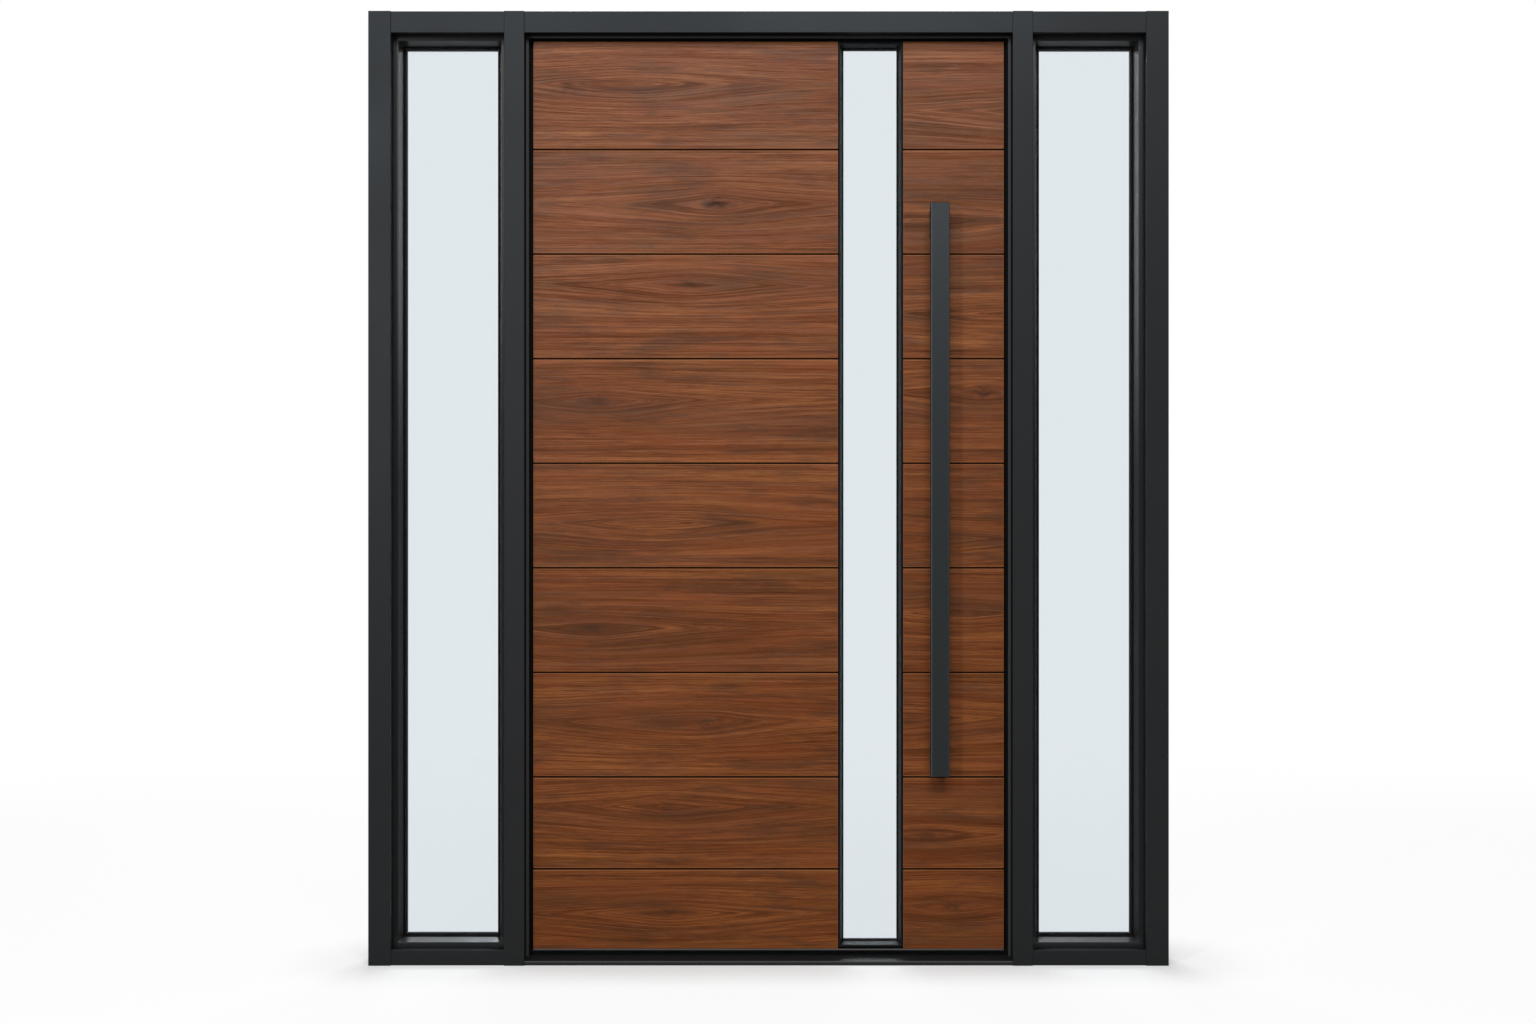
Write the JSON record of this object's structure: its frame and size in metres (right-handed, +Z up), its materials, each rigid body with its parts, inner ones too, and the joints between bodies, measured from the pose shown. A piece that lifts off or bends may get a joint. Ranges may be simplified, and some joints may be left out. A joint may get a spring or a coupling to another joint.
{
  "type": "entrance door with sidelights",
  "caption": "Entrance door clad in level walnut boards, with a full-height glass strip and a long pull bar, hinged between two fixed full-height sidelights in a graphite frame.",
  "frame": {"origin": "middle of the threshold's underside, halfway through the frame's depth", "axes": "+Z up, -Y outdoors, +X to the right as seen from outdoors"},
  "size_m": [2.134, 0.23, 2.545],
  "materials": {
    "graphite": "satin powder coat, graphite grey",
    "walnut": "oiled walnut boards, grain level",
    "glass": "clear, faint grey-blue",
    "bar": "satin graphite",
    "rubber": "matt black",
    "black_plastic": "matt black",
    "panel": "foam core with a plain skin",
    "steel": "brushed"
  },
  "bodies": {
    "frame": {"jamb_left": "graphite", "jamb_right": "graphite", "mullion_left": "graphite", "mullion_right": "graphite", "head_left": "graphite", "head_door": "graphite", "head_right": "graphite", "sill_left": "graphite", "sill_right": "graphite", "threshold": "graphite", "thermal_breaks": "black_plastic", "outside_beads_left": "graphite", "outside_beads_right": "graphite", "inside_beads_left": "graphite", "inside_beads_right": "graphite", "glass_left": "glass", "glass_right": "glass", "glazing_gaskets": "rubber", "glass_spacers": "black_plastic", "setting_blocks": "rubber", "door_seals": "rubber", "lock_keeper": "steel", "hinge_frame_sides": "graphite"},
    "leaf": {"leaf_stile_hinge": "graphite", "leaf_stile_lock": "graphite", "leaf_rail_top": "graphite", "leaf_rail_bottom": "graphite", "leaf_thermal_breaks": "black_plastic", "core_wide": "panel", "core_narrow": "panel", "vision_post_left": "graphite", "vision_post_right": "graphite", "boards_front_wide": "walnut", "boards_front_narrow": "walnut", "boards_back_wide": "walnut", "boards_back_narrow": "walnut", "board_trims": "graphite", "vision_frame_front": "graphite", "vision_frame_back": "graphite", "vision_gaskets": "rubber", "vision_spacer": "black_plastic", "vision_glass": "glass", "pull_bar_front": "bar", "pull_bar_back": "bar", "pull_posts": "bar", "hinge_leaf_sides": "graphite", "lock_faceplate": "steel", "door_sweep": "rubber"}
  },
  "joints": [
    {"name": "leaf_hinge", "type": "hinge", "parent": "frame", "child": "leaf", "pos_m": [-0.657, 0.082, 1.27], "axis": [0, 0, 1], "range_deg": [0, 105]}
  ]
}
